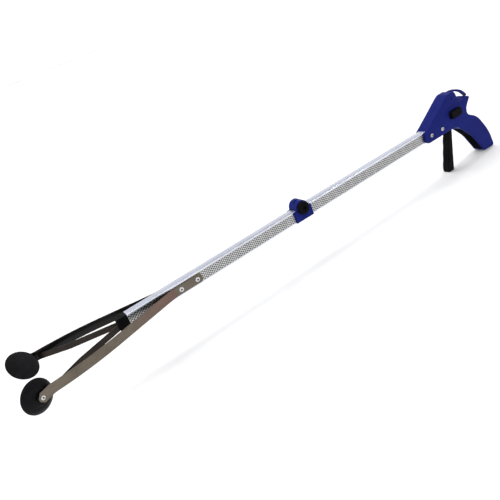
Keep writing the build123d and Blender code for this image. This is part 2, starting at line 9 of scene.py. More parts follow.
import bmesh
import bpy
from mathutils import Euler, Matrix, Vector


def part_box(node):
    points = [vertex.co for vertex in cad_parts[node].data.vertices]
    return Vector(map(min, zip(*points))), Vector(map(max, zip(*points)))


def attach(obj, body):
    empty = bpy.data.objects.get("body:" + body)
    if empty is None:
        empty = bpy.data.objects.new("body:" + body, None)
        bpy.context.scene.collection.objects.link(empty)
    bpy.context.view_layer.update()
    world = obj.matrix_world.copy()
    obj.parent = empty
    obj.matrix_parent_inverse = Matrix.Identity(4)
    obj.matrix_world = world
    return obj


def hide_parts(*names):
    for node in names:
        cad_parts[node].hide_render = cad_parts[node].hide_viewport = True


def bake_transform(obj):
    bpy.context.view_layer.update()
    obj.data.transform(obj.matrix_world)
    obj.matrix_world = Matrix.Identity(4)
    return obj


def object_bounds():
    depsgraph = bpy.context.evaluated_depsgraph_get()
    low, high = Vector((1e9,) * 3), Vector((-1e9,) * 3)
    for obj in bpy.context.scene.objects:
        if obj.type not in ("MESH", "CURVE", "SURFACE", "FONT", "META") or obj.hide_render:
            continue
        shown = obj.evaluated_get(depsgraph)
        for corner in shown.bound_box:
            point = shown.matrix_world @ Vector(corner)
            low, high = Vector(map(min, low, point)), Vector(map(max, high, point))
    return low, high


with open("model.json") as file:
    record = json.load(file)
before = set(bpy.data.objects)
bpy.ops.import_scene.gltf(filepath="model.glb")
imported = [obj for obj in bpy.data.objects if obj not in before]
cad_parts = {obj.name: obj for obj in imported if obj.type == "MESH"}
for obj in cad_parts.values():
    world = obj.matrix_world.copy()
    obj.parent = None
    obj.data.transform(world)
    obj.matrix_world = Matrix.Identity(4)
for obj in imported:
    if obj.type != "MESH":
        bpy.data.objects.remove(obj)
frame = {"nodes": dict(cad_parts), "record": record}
cad_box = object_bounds()
nodes = frame["nodes"]
mm = 0.001


# ---------------------------------------------------------------- material nodes


class Shader:
    """A material with a Principled shader and short calls that add and join nodes."""

    def __init__(self, name, color, roughness, metallic=0.0, **inputs):
        self.material = bpy.data.materials.new(name)
        self.material.use_nodes = True
        self.nodes = self.material.node_tree.nodes
        self.links = self.material.node_tree.links
        self.bsdf = self.nodes["Principled BSDF"]
        self.bsdf.inputs["Base Color"].default_value = (*color, 1)
        self.bsdf.inputs["Roughness"].default_value = roughness
        self.bsdf.inputs["Metallic"].default_value = metallic
        for key, value in inputs.items():
            self.bsdf.inputs[key.replace("_", " ")].default_value = value
        self.place = self.nodes.new("ShaderNodeTexCoord").outputs["Object"]

    def scaled(self, scale):
        """The object's coordinates, stretched by one factor per axis."""
        mapping = self.nodes.new("ShaderNodeMapping")
        mapping.inputs["Scale"].default_value = scale
        self.links.new(self.place, mapping.inputs["Vector"])
        return mapping.outputs["Vector"]

    def noise(self, scale, detail=3.0, stretch=None, roughness=0.5):
        """Noise with features about 1/scale metres across."""
        node = self.nodes.new("ShaderNodeTexNoise")
        node.inputs["Scale"].default_value = scale
        node.inputs["Detail"].default_value = detail
        node.inputs["Roughness"].default_value = roughness
        place = self.place if stretch is None else self.scaled(stretch)
        self.links.new(place, node.inputs["Vector"])
        return node.outputs["Fac"]

    def ramp(self, value, low, high, at_low, at_high):
        """A value remapped from low..high to at_low..at_high, held beyond both ends."""
        node = self.nodes.new("ShaderNodeMapRange")
        node.inputs["From Min"].default_value = low
        node.inputs["From Max"].default_value = high
        node.inputs["To Min"].default_value = at_low
        node.inputs["To Max"].default_value = at_high
        self.links.new(value, node.inputs["Value"])
        return node.outputs["Result"]

    def maths(self, kind, a, b=0):
        """One math node on one or two values, each a socket or a number."""
        node = self.nodes.new("ShaderNodeMath")
        node.operation = kind
        for socket, value in zip(node.inputs, (a, b)):
            if isinstance(value, (int, float)):
                socket.default_value = value
            else:
                self.links.new(value, socket)
        return node.outputs["Value"]

    def axis(self, letter):
        """One coordinate of the place on the object."""
        node = self.nodes.new("ShaderNodeSeparateXYZ")
        self.links.new(self.place, node.inputs["Vector"])
        return node.outputs[letter]

    def attribute(self, name):
        """A value stored on the mesh."""
        node = self.nodes.new("ShaderNodeAttribute")
        node.attribute_name = name
        return node.outputs["Fac"]

    def mix(self, factor, a, b):
        """A colour between two colours, each a socket or three numbers."""
        node = self.nodes.new("ShaderNodeMix")
        node.data_type = "RGBA"
        for socket, value in zip((node.inputs[6], node.inputs[7]), (a, b)):
            if isinstance(value, tuple):
                socket.default_value = (*value, 1)
            else:
                self.links.new(value, socket)
        self.links.new(factor, node.inputs[0])
        return node.outputs[2]

    def bump(self, *layers):
        """Stack bumps, each (height value, depth in metres)."""
        normal = None
        for height, depth in layers:
            node = self.nodes.new("ShaderNodeBump")
            node.inputs["Distance"].default_value = depth
            node.inputs["Strength"].default_value = 1.0
            self.links.new(height, node.inputs["Height"])
            if normal is not None:
                self.links.new(normal, node.inputs["Normal"])
            normal = node.outputs["Normal"]
        self.links.new(normal, self.bsdf.inputs["Normal"])

    def drive(self, socket, value):
        """Feed one input of the shader."""
        self.links.new(value, self.bsdf.inputs[socket])


def blue_plastic():
    """Moulded royal-blue plastic: fine spark-eroded grain, faint flow marks and rubbed patches."""
    s = Shader("blue_plastic", (0.009, 0.014, 0.16), 0.42, Specular_IOR_Level=0.03)
    flow = s.noise(28, 4, stretch=(0.5, 1.0, 1.0))
    body = s.mix(s.ramp(flow, 0.35, 0.7, 0, 1), (0.0085, 0.0135, 0.128), (0.0108, 0.0168, 0.152))
    specks = s.ramp(s.noise(1500, 2), 0.60, 0.78, 0, 0.3)
    body = s.mix(specks, body, (0.035, 0.047, 0.28))
    rubbed = s.ramp(s.noise(110, 5, roughness=0.65), 0.60, 0.78, 0, 0.25)
    body = s.mix(rubbed, body, (0.016, 0.024, 0.21))
    s.drive("Base Color", body)
    s.drive("Roughness", s.ramp(s.noise(90, 4), 0.3, 0.7, 0.34, 0.5))
    s.bump((s.noise(1400, 2), 0.00007), (s.noise(60, 2), 0.0001))
    return s.material


def black_plastic():
    """Moulded black plastic with a satin grain."""
    s = Shader("black_plastic", (0.004, 0.004, 0.005), 0.45, Specular_IOR_Level=0.03)
    tone = s.ramp(s.noise(45, 4), 0.3, 0.7, 0, 1)
    body = s.mix(tone, (0.0022, 0.0022, 0.0028), (0.006, 0.006, 0.0072))
    specks = s.ramp(s.noise(1700, 2), 0.66, 0.80, 0, 0.35)
    body = s.mix(specks, body, (0.03, 0.03, 0.034))
    s.drive("Base Color", body)
    s.drive("Roughness", s.ramp(s.noise(120, 4), 0.3, 0.7, 0.38, 0.58))
    s.bump((s.noise(1600, 2), 0.00006))
    return s.material


def black_rubber():
    """Soft black rubber with a faint bloom and moulding dust."""
    s = Shader("black_rubber", (0.004, 0.004, 0.005), 0.4, Specular_IOR_Level=0.09)
    bloom = s.ramp(s.noise(70, 5, roughness=0.65), 0.45, 0.8, 0, 1)
    body = s.mix(bloom, (0.0022, 0.0022, 0.003), (0.008, 0.0085, 0.011))
    dust = s.ramp(s.noise(2600, 1), 0.72, 0.80, 0, 0.4)
    body = s.mix(dust, body, (0.08, 0.08, 0.09))
    s.drive("Base Color", body)
    s.drive("Roughness", s.ramp(s.noise(40, 4), 0.3, 0.7, 0.26, 0.5))
    s.bump((s.noise(900, 3), 0.00005))
    return s.material


def soft_grip():
    """The dull moulded face of the grip's pad."""
    s = Shader("soft_grip", (0.004, 0.004, 0.005), 0.85, Specular_IOR_Level=0.005)
    tone = s.ramp(s.noise(60, 4), 0.35, 0.7, 0, 1)
    body = s.mix(tone, (0.0022, 0.0022, 0.003), (0.006, 0.006, 0.0085))
    dust = s.ramp(s.noise(2400, 1), 0.72, 0.80, 0, 0.4)
    s.drive("Base Color", s.mix(dust, body, (0.05, 0.05, 0.06)))
    s.drive("Roughness", s.ramp(s.noise(120, 4), 0.3, 0.7, 0.75, 0.95))
    s.bump((s.noise(1100, 3), 0.00008))
    return s.material


def tube_aluminium():
    """Extruded aluminium: drawing lines along the shaft, and sides pressed with diamonds whose hollows
    are darkened with dirt and painted shade.
    """
    s = Shader("tube_aluminium", (0.60, 0.62, 0.70), 0.3, 1.0)
    lines = s.noise(1, 4, stretch=(8, 2600, 2600))
    stain = s.ramp(s.noise(35, 5, roughness=0.6), 0.4, 0.75, 0, 1)
    body = s.mix(s.ramp(lines, 0.3, 0.7, 0, 1), (0.60, 0.63, 0.73), (0.80, 0.83, 0.94))
    body = s.mix(s.maths("MULTIPLY", stain, 0.25), body, (0.44, 0.455, 0.50))
    groove_y = 0.0047
    from_middle = s.maths("ABSOLUTE", s.axis("Y"))
    off_groove = s.maths("ABSOLUTE", s.maths("SUBTRACT", from_middle, groove_y))
    groove = s.ramp(off_groove, 0.0002, 0.0006, 0.8, 0)
    body = s.mix(groove, body, (0.17, 0.18, 0.21))
    # Dirt and painted shade: the pressed diamonds' hollows are darkened by their depth, both for dirt
    # trapped in them and in place of the shade inside them.
    relief = s.attribute("hollow")
    patchy = s.ramp(s.noise(160, 4, roughness=0.6), 0.35, 0.7, 0, 1)
    pit_dirt_and_shade = s.mix(patchy, (0.03, 0.03, 0.032), (0.10, 0.10, 0.10))
    pressed_dirt_and_shade = s.mix(s.ramp(relief, 0.47, 0.92, 0, 1), (0.84, 0.84, 0.84), pit_dirt_and_shade)
    body = s.mix(s.ramp(relief, 0.0, 0.4, 0, 1), body, pressed_dirt_and_shade)
    s.drive("Base Color", body)
    s.drive("Roughness", s.ramp(lines, 0.3, 0.7, 0.22, 0.40))
    s.bump((lines, 0.00003), (s.noise(700, 3), 0.00003))
    return s.material


def strip_steel(name, light, dark, inside, tint):
    """Cold-rolled spring strip: rolling lines, cloudy oxide, a darker inner face, a tint by the bend."""
    s = Shader(name, light, 0.34, 1.0)
    lines = s.noise(1, 5, stretch=(14, 400, 3200))
    body = s.mix(s.ramp(lines, 0.3, 0.7, 0, 1), dark, light)
    cloud = s.ramp(s.noise(30, 4), 0.4, 0.75, 0, 0.6)
    body = s.mix(cloud, body, tuple(0.75 * c for c in dark))
    along = s.axis("X")
    heat_start = s.ramp(along, 0.443, 0.448, 0, 1)
    heat_end = s.ramp(along, 0.452, 0.520, 1, 0)
    heated = s.maths("MULTIPLY", heat_start, heat_end)
    body = s.mix(s.maths("MULTIPLY", heated, 0.8), body, tint)
    body = s.mix(s.attribute("inner"), body, inside)
    s.drive("Base Color", body)
    s.drive("Roughness", s.ramp(s.noise(55, 5), 0.3, 0.7, 0.27, 0.42))
    s.bump((lines, 0.00003))
    return s.material


def spring_steel():
    """The arms' strip, warm grey outside and blued inside."""
    return strip_steel(
        "spring_steel",
        light=(0.185, 0.156, 0.126),
        dark=(0.112, 0.093, 0.073),
        inside=(0.024, 0.023, 0.023),
        tint=(0.165, 0.098, 0.083),
    )


def blued_steel():
    """The links' strip, blued all over."""
    return strip_steel(
        "blued_steel",
        light=(0.045, 0.038, 0.033),
        dark=(0.024, 0.020, 0.018),
        inside=(0.030, 0.026, 0.023),
        tint=(0.05, 0.04, 0.035),
    )


def zinc_steel():
    """Bright zinc-plated steel with fine turning marks, small pits and painted shade in its recesses."""
    s = Shader("zinc_steel", (0.40, 0.40, 0.41), 0.28, 1.0)
    body = s.mix(s.ramp(s.noise(260, 4), 0.35, 0.7, 0, 1), (0.40, 0.40, 0.41), (0.66, 0.66, 0.66))
    # Painted shade: sunken places such as the cross recesses are coloured near-black in place of the
    # shade inside them.
    s.drive("Base Color", s.mix(s.attribute("hollow"), body, (0.03, 0.03, 0.03)))
    s.drive("Roughness", s.ramp(s.noise(420, 3), 0.3, 0.7, 0.2, 0.42))
    s.bump((s.noise(1500, 2), 0.00003))
    return s.material


def rivet_aluminium():
    """Soft bright aluminium of a pressed rivet head, with painted shade in its stem hole."""
    s = Shader("rivet_aluminium", (0.62, 0.62, 0.63), 0.22, 1.0)
    body = s.mix(s.ramp(s.noise(500, 3), 0.35, 0.7, 0, 1), (0.50, 0.50, 0.51), (0.75, 0.75, 0.76))
    # Painted shade: the sunken stem is coloured near-black in place of the shade in its hole.
    s.drive("Base Color", s.mix(s.attribute("hollow"), body, (0.02, 0.02, 0.02)))
    s.drive("Roughness", s.ramp(s.noise(900, 2), 0.3, 0.7, 0.16, 0.34))
    s.bump((s.noise(1800, 2), 0.00003))
    return s.material


def cable_steel():
    """Stranded wire: diagonal strands from the geometry, dull between them."""
    s = Shader("cable_steel", (0.46, 0.46, 0.47), 0.36, 1.0)
    body = s.mix(s.ramp(s.noise(600, 3), 0.35, 0.7, 0, 1), (0.34, 0.34, 0.35), (0.56, 0.56, 0.56))
    s.drive("Base Color", body)
    s.drive("Roughness", s.ramp(s.noise(800, 2), 0.3, 0.7, 0.28, 0.5))
    s.bump((s.noise(1500, 2), 0.00003))
    return s.material


materials = {
    "blue_plastic": blue_plastic(),
    "black_plastic": black_plastic(),
    "black_rubber": black_rubber(),
    "tube_aluminium": tube_aluminium(),
    "spring_steel": spring_steel(),
    "zinc_steel": zinc_steel(),
    "rivet_aluminium": rivet_aluminium(),
    "cable_steel": cable_steel(),
}
slot_of = {part["node"]: part["material_slot"] for part in frame["record"]["subparts"]}
blued = blued_steel()
finish_of = {"left_link": blued, "right_link": blued, "grip_pad": soft_grip()}


def smooth(obj, degrees=35):
    """Shade smooth, keeping edges sharper than an angle crisp."""
    for polygon in obj.data.polygons:
        polygon.use_smooth = True
    obj.data.set_sharp_from_angle(angle=math.radians(degrees))


def level_normals(mesh, degrees=35):
    """Corner normals led by the larger faces, so flat walls stay flat beside their fillets."""
    around = [[] for _ in mesh.vertices]
    directions = [polygon.normal.copy() for polygon in mesh.polygons]
    weighted = [polygon.normal * polygon.area for polygon in mesh.polygons]
    for polygon in mesh.polygons:
        for vertex in polygon.vertices:
            around[vertex].append(polygon.index)
    limit = math.cos(math.radians(degrees))
    normals = []
    for polygon in mesh.polygons:
        own = directions[polygon.index]
        for vertex in polygon.vertices:
            total = Vector((0, 0, 0))
            for index in around[vertex]:
                if directions[index].dot(own) > limit:
                    total += weighted[index]
            normals.append(total.normalized())
    mesh.normals_split_custom_set(normals)


def finish_piece(obj, body, slot):
    """Give a piece its material and slot and let it ride on a CAD body."""
    obj.data.materials.clear()
    obj.data.materials.append(materials[slot])
    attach(obj, body)


# ---------------------------------------------------------------- mesh helpers


def mesh_object(name, vertices, faces):
    """A mesh object from points and faces, with all faces turned outwards."""
    data = bpy.data.meshes.new(name)
    data.from_pydata([tuple(v) for v in vertices], [], faces)
    work = bmesh.new()
    work.from_mesh(data)
    bmesh.ops.remove_doubles(work, verts=work.verts, dist=1e-7)
    bmesh.ops.recalc_face_normals(work, faces=work.faces)
    work.to_mesh(data)
    work.free()
    obj = bpy.data.objects.new(name, data)
    bpy.context.scene.collection.objects.link(obj)
    return obj


def loft(name, rings):
    """A closed skin over rings of equal point counts."""
    count = len(rings[0])
    vertices = [point for ring in rings for point in ring]
    faces = []
    for i in range(len(rings) - 1):
        for j in range(count):
            k = (j + 1) % count
            faces.append((i * count + j, i * count + k, (i + 1) * count + k, (i + 1) * count + j))
    faces.append(tuple(range(count)))
    faces.append(tuple(range((len(rings) - 1) * count, len(rings) * count)))
    return mesh_object(name, vertices, faces)


def mark_points(obj, name, value_at):
    """Store a value for every point of a mesh, found from the point's place."""
    layer = obj.data.attributes.new(name, "FLOAT", "POINT")
    for vertex, value in zip(obj.data.vertices, layer.data):
        value.value = value_at(vertex.co)


def turned(profile, origin, direction, segments, cut, hole):
    """Points, faces and hollow marks of a turned (radius, height) profile; cut lowers chosen points."""
    axis = Vector(direction).normalized()
    across = axis.cross(Vector((0, 0, 1))).normalized()
    other = axis.cross(across)
    base = Vector(origin)
    vertices = []
    faces = []
    rings = []
    marks = []
    for radius, height in profile:
        sunk = 1.0 if 0 < height and radius < hole else 0.0
        if radius < 1e-9:
            rings.append([len(vertices)] * segments)
            depth = cut(0, 0, height) if cut else 0
            vertices.append(base + axis * (height - depth))
            marks.append(1.0 if depth > 0 else sunk)
            continue
        ring = []
        for j in range(segments):
            turn = math.tau * j / segments
            ring.append(len(vertices))
            a, b = radius * math.cos(turn), radius * math.sin(turn)
            depth = cut(a, b, height) if cut else 0
            vertices.append(base + across * a + other * b + axis * (height - depth))
            marks.append(1.0 if depth > 0 else sunk)
        rings.append(ring)
    for low, high in zip(rings, rings[1:]):
        for j in range(segments):
            k = (j + 1) % segments
            corners = []
            for index in (low[j], low[k], high[k], high[j]):
                if index not in corners:
                    corners.append(index)
            if len(corners) > 2:
                faces.append(tuple(corners))
    return vertices, faces, marks


def turned_group(name, places, profile, segments=48, cut=None, hole=0.0):
    """One mesh of the same turned shape at several (origin, direction) places."""
    vertices = []
    faces = []
    marks = []
    for origin, direction in places:
        found, joined, sunk = turned(profile, origin, direction, segments, cut, hole)
        first = len(vertices)
        vertices.extend(found)
        marks.extend(sunk)
        faces.extend(tuple(first + index for index in face) for face in joined)
    obj = mesh_object(name, vertices, faces)
    # The hollow marks set painted shade in the screws' cross recesses and the rivets' stem holes.
    sunk_at = {tuple(round(c, 6) for c in place): mark for place, mark in zip(vertices, marks)}
    mark_points(obj, "hollow", lambda co: sunk_at.get(tuple(round(c, 6) for c in co), 0.0))
    return obj


def in_mm(profile):
    """A (radius, height) profile given in millimetres."""
    return [(radius * mm, height * mm) for radius, height in profile]


def arc(center, radius, start, end, steps):
    """Points (across, up) on an arc, angles in degrees."""
    found = []
    for i in range(steps + 1):
        turn = math.radians(start + (end - start) * i / steps)
        found.append((center[0] + radius * math.cos(turn), center[1] + radius * math.sin(turn)))
    return found


# ---------------------------------------------------------------- carried-over CAD nodes

replaced = {
    "rear_tube",
    "front_tube",
    "left_arm_root",
    "left_arm",
    "right_arm_root",
    "right_arm",
    "left_cup",
    "right_cup",
    "hinge_cable",
    "handle_screws",
    "arm_rivets",
    "left_cup_rivet",
    "right_cup_rivet",
}
for name, obj in nodes.items():
    if name in replaced:
        continue
    obj.data.materials.clear()
    obj.data.materials.append(finish_of.get(name, materials[slot_of[name]]))
    smooth(obj)
    level_normals(obj.data)


# ---------------------------------------------------------------- shaft tubes


def knurled_tube(name, body):
    """A rectangular tube whose two sides are pressed with a mesh of small hollow diamonds."""
    low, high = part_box(name)
    wall = 1.2 * mm
    pitch_x = 4.4 * mm
    pitch_z = 3.6 * mm
    relief = 0.3 * mm
    corner = 1.0 * mm
    half_y = high.y
    half_z = high.z
    station_step = 0.7 * mm
    border = 0.5 * mm
    stations = round((high.x - low.x) / station_step)
    flat = half_z - corner - border
    rows = 24

    def hollow_depth(x, z):
        """0 on the crossing ridges, rising to 1 in the middle of each diamond."""
        a = abs(math.sin(math.pi * (x / pitch_x + z / pitch_z)))
        b = abs(math.sin(math.pi * (x / pitch_x - z / pitch_z)))
        return min(1.0, 1.6 * a * b)

    def outline(i):
        """The outer ring at one station, pressed on both sides."""
        x = (high.x - low.x) * i / stations
        ring = []
        for side in (1, -1):
            for y, z in arc((half_y - corner, half_z - corner), corner, 90, 0, 5):
                ring.append((side * y, side * z))
            for row in range(rows + 1):
                z = flat - 2 * flat * row / rows
                edge = row in (0, rows) or i in (0, stations)
                depth = 0 if edge else relief * hollow_depth(x, z)
                ring.append((side * (half_y - depth), side * z))
            for y, z in arc((half_y - corner, -half_z + corner), corner, 0, -90, 5):
                ring.append((side * y, side * z))
        return ring

    vertices = []
    rings = []
    for i in range(stations + 1):
        x = low.x + (high.x - low.x) * i / stations
        ring = []
        for y, z in outline(i):
            ring.append(len(vertices))
            vertices.append((x, y, z))
        rings.append(ring)
    count = len(rings[0])
    inner = []
    for x in (low.x, high.x):
        ring = []
        for y, z in outline(0):
            ring.append(len(vertices))
            inner_y = max(-half_y + wall, min(half_y - wall, y))
            inner_z = max(-half_z + wall, min(half_z - wall, z))
            vertices.append((x, inner_y, inner_z))
        inner.append(ring)
    faces = []

    def join(a, b):
        """Quads between two rings, leaving out the ones with no width."""
        for j in range(count):
            k = (j + 1) % count
            corners = []
            for index in (a[j], a[k], b[k], b[j]):
                if all((Vector(vertices[index]) - Vector(vertices[c])).length > 1e-7 for c in corners):
                    corners.append(index)
            if len(corners) > 2:
                faces.append(tuple(corners))

    for a, b in zip(rings, rings[1:]):
        join(a, b)
    join(inner[0], rings[0])
    join(rings[-1], inner[1])
    join(inner[1], inner[0])
    tube = mesh_object(f"{name}_knurled", vertices, faces)

    def pressed(co):
        """0 off the pressed sides, 0.5 on their ridges and 1 at the bottom of a diamond."""
        on_side = abs(co.z) < flat * 0.99 and abs(co.y) > half_y - relief * 1.01
        return 0.5 + 0.5 * (half_y - abs(co.y)) / relief if on_side else 0.0

    # These marks set the dirt and painted shade in the diamonds' hollows.
    mark_points(tube, "hollow", pressed)
    smooth(tube, 25)
    finish_piece(tube, body, "tube_aluminium")
    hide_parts(name)


knurled_tube("rear_tube", "handle")
knurled_tube("front_tube", "jaw_half")


# ---------------------------------------------------------------- jaw arms

strip_half = 6.25 * mm
strip_middle = -0.45 * mm
strip_thick = 1.0 * mm
arm_slope = math.radians(16.2)
tab_flare = math.radians(26)
arm_back = 404.5 * mm
root_end = 442.0 * mm
arm_bend = Vector((447.0, 6.8)) * mm
bend_reach = 5 * mm
straight_end_x = 535.0 * mm
arm_tip = Vector((618.0, 45.7)) * mm
tab_length = 19.0 * mm
tab_bend_reach = 1.4 * mm
tab_corner_cut = 4.2 * mm


def arm_path():
    """The arm's middle line seen from above: flat root, sprung bend, long arc and flared tab."""
    path = []
    for i in range(15):
        path.append(Vector((arm_back + (root_end - arm_back) * i / 14, arm_bend.y)))
    straight_rise = (straight_end_x - arm_bend.x) * math.tan(arm_slope)
    straight_end = Vector((straight_end_x, arm_bend.y + straight_rise))
    start = Vector((root_end, arm_bend.y))
    slope = Vector((math.cos(arm_slope), math.sin(arm_slope)))
    bend_end = arm_bend + slope * bend_reach
    for i in range(1, 9):
        t = i / 8
        path.append(start * (1 - t) ** 2 + arm_bend * 2 * t * (1 - t) + bend_end * t**2)
    for i in range(1, 25):
        path.append(bend_end.lerp(straight_end, i / 24))
    chord = arm_tip - straight_end
    turn = 2 * (arm_slope - math.atan2(chord.y, chord.x))
    radius = chord.length / (2 * math.sin(turn / 2))
    center = straight_end + Vector((slope.y, -slope.x)) * radius
    for i in range(1, 29):
        angle = turn * i / 28
        spoke = straight_end - center
        cos, sin = math.cos(-angle), math.sin(-angle)
        path.append(center + Vector((spoke.x * cos - spoke.y * sin, spoke.x * sin + spoke.y * cos)))
    flare = Vector((math.cos(tab_flare), math.sin(tab_flare)))
    tail = path[-1] - path[-2]
    path = path[:-1]
    before = arm_tip - tail.normalized() * tab_bend_reach
    after = arm_tip + flare * tab_bend_reach
    for i in range(7):
        t = i / 6
        path.append(before * (1 - t) ** 2 + arm_tip * 2 * t * (1 - t) + after * t**2)
    end = arm_tip + flare * tab_length
    for i in range(1, 17):
        path.append(after.lerp(end, i / 16))
    return path


def strip_rings(path, half_width_at, thickness, middle_z):
    """Rounded flat cross-sections along a path seen from above."""
    lengths = [0.0]
    for a, b in zip(path, path[1:]):
        lengths.append(lengths[-1] + (b - a).length)
    total = lengths[-1]
    rings = []
    for i, point in enumerate(path):
        ahead = path[min(i + 1, len(path) - 1)]
        behind = path[max(i - 1, 0)]
        along = (ahead - behind).normalized()
        normal = Vector((-along.y, along.x))
        half = half_width_at(lengths[i], total)
        edge = min(thickness / 2, half)
        points = []
        for side in (1, -1):
            for step in range(5):
                angle = math.radians(-90 + 180 * step / 4) * side
                across = math.sin(angle) * thickness / 2
                up = side * (half - edge + math.cos(angle) * edge)
                at = point + normal * across
                points.append(Vector((at.x, at.y, middle_z + up)))
        rings.append(points)
    return rings


def arm_half_width(s, total):
    """Half the strip's width: a shallow arc at the root, cut corners at the tab's end."""
    arc_depth = 2.6 * mm
    radius = (strip_half**2 + arc_depth**2) / (2 * arc_depth)
    if s < arc_depth:
        return max(0.15 * mm, math.sqrt(max(0.0, radius**2 - (radius - s) ** 2)))
    if s > total - tab_corner_cut:
        return strip_half - (s - (total - tab_corner_cut))
    return strip_half


def refine_ends(path, depth, steps):
    """Add closely spaced points over a depth at both ends of a path."""
    first = (path[1] - path[0]).normalized()
    last = (path[-1] - path[-2]).normalized()
    start = [path[0] + first * depth * (i / steps) ** 2 for i in range(steps + 1)]
    end = [path[-1] - last * depth * (1 - i / steps) for i in range(steps + 1)]
    clear = depth * 1.02
    middle = [p for p in path if min((p - path[0]).length, (p - path[-1]).length) > clear]
    return start + middle + end


def jaw_arm(name, side):
    """One continuous strip that springs where it leaves the shaft."""
    path = [Vector((p.x, side * p.y)) for p in refine_ends(arm_path(), tab_corner_cut, 12)]
    rings = strip_rings(path, arm_half_width, strip_thick, strip_middle)
    strip = loft(f"{name}_arm_strip", rings)

    def faces_in(co):
        """1 on the face towards the jaws' middle, 0 on the outer face."""
        at = co.to_2d()
        nearest = min(range(len(path)), key=lambda i: (path[i] - at).length)
        along = path[min(nearest + 1, len(path) - 1)] - path[max(nearest - 1, 0)]
        across = Vector((-along.y, along.x)).normalized().dot(at - path[nearest])
        return 1.0 if side * across < -0.2 * mm else 0.0

    mark_points(strip, "inner", faces_in)
    smooth(strip, 50)
    strip.data.materials.append(materials["spring_steel"])
    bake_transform(strip)
    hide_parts(f"{name}_arm_root", f"{name}_arm")


jaw_arm("left", 1)
jaw_arm("right", -1)


# ---------------------------------------------------------------- rubber cups

cup_along = 14.4 * mm
dimple_ring = 14.5 * mm
dimple_radius = 0.9 * mm
dimple_depth = 0.55 * mm


def cup_profile():
    """The cup's section as (radius, depth from the tab's inner face), in millimetres."""
    dome_inner = 9.9
    dome_outer = 19.45
    dome_start = 3.85
    mouth = 18.5
    back = [(2.2, 3.9), (2.2, 1.3), (2.35, 1.15), (4.0, 1.15), (4.2, 1.3), (4.2, 2.7), (4.4, 2.9)]
    hub = [(6.0, 2.9), (8.6, 2.9), (9.2, 3.05), (9.5, 3.4), (9.55, 3.7), (dome_inner, dome_start)]
    shell = []
    steps = 34
    for i in range(steps + 1):
        t = i / steps
        radius = dome_inner + (dome_outer - dome_inner) * t
        shell.append((radius, dome_start + 1.9 * t + 3.5 * t**2.4))
    rim = [(19.58, 9.6), (19.6, 10.0), (19.5, 10.22), (19.2, 10.3), (18.7, 10.28), (mouth, 10.15)]
    inside = []
    for i in range(1, 30):
        radius = mouth * (1 - i / 30)
        ripple = 0.05 * math.sin(math.tau * radius / 2.6)
        inside.append((radius, 6.86 + 3.2 * (radius / mouth) ** 2 + ripple))
    cavity = [(0, 6.85), (0, 6.05), (3.6, 6.05), (3.8, 5.9), (3.8, 4.0), (3.6, 3.9), (2.2, 3.9)]
    return back + hub + shell + rim + inside + cavity


def rubber_cup(name, side):
    """A shallow suction cup with a raised hub, a soft lip and four dimples round its back."""
    outwards = Vector((math.cos(tab_flare), side * math.sin(tab_flare), 0))
    inwards = Vector((math.sin(tab_flare), -side * math.cos(tab_flare), 0))
    tip = Vector((arm_tip.x, side * arm_tip.y, strip_middle))
    origin = tip + outwards * cup_along + inwards * strip_thick / 2
    profile = in_mm(cup_profile())
    cup = turned_group(f"{name}_cup_rubber", [(origin, inwards)], profile, segments=168)
    up = Vector((0, 0, 1))
    centers = [up, outwards, -up, -outwards]
    for vertex in cup.data.vertices:
        offset = vertex.co - origin
        depth = offset.dot(inwards)
        flat = offset - inwards * depth
        if not 4.0 * mm < depth < 7.2 * mm or not 12 * mm < flat.length < 17 * mm:
            continue
        near = min((flat - spoke * dimple_ring).length for spoke in centers)
        if near < dimple_radius:
            vertex.co += inwards * dimple_depth * (1 - (near / dimple_radius) ** 2) ** 0.5
    smooth(cup, 40)
    finish_piece(cup, f"{name}_cup", "black_rubber")
    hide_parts(f"{name}_cup")


rubber_cup("left", 1)
rubber_cup("right", -1)


# ---------------------------------------------------------------- screws and rivets


screw_xs = (-16.0 * mm, -40.0 * mm)
screw_z = -1.0 * mm
screw_head_height = 1.9
rivet_xs = (412.0 * mm, 436.0 * mm)
strip_outer_y = 7.3 * mm


def domed_head(radius, foot, height, steps, hole=0.0):
    """Points up a low dome from its rim to a hole's edge or to its middle, in millimetres."""
    found = [(radius, 0), (radius, foot)]
    for i in range(1, steps + 1):
        r = radius + (hole - radius) * i / steps
        found.append((r, foot + (height - foot) * math.sqrt(max(0.0, 1 - (r / radius) ** 2.6))))
    return found


def cross_slot(a, b, height):
    """The depth of a cross recess at one place on a screw head."""
    arm_length = 1.75 * mm
    half_arm = 0.36 * mm
    middle = 0.7 * mm
    reach = math.hypot(a, b)
    inside = reach < arm_length and height > 0.9 * mm
    in_arm = min(abs(a), abs(b)) < half_arm or reach < middle
    return (1.15 - 0.35 * reach / arm_length) * mm if inside and in_arm else 0.0


def handle_screws():
    """Two pan-head machine screws with cross recesses."""
    _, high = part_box("handle_screws")
    shank = [(0, -20.0), (1.5, -20.0), (1.7, -19.8)]
    for i in range(26):
        shank.append((1.7 if i % 2 else 1.52, -19.6 + 0.3 * i))
    head = domed_head(3.2, 0.4, screw_head_height, 26)
    profile = in_mm(shank + [(1.7, -11.8), (1.7, 0)] + head)
    seat_y = high.y - screw_head_height * mm
    places = [(Vector((x, seat_y, screw_z)), (0, 1, 0)) for x in screw_xs]
    screws = turned_group("handle_screws_crossed", places, profile, 72, cross_slot)
    smooth(screws, 32)
    finish_piece(screws, "handle", "zinc_steel")
    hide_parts("handle_screws")


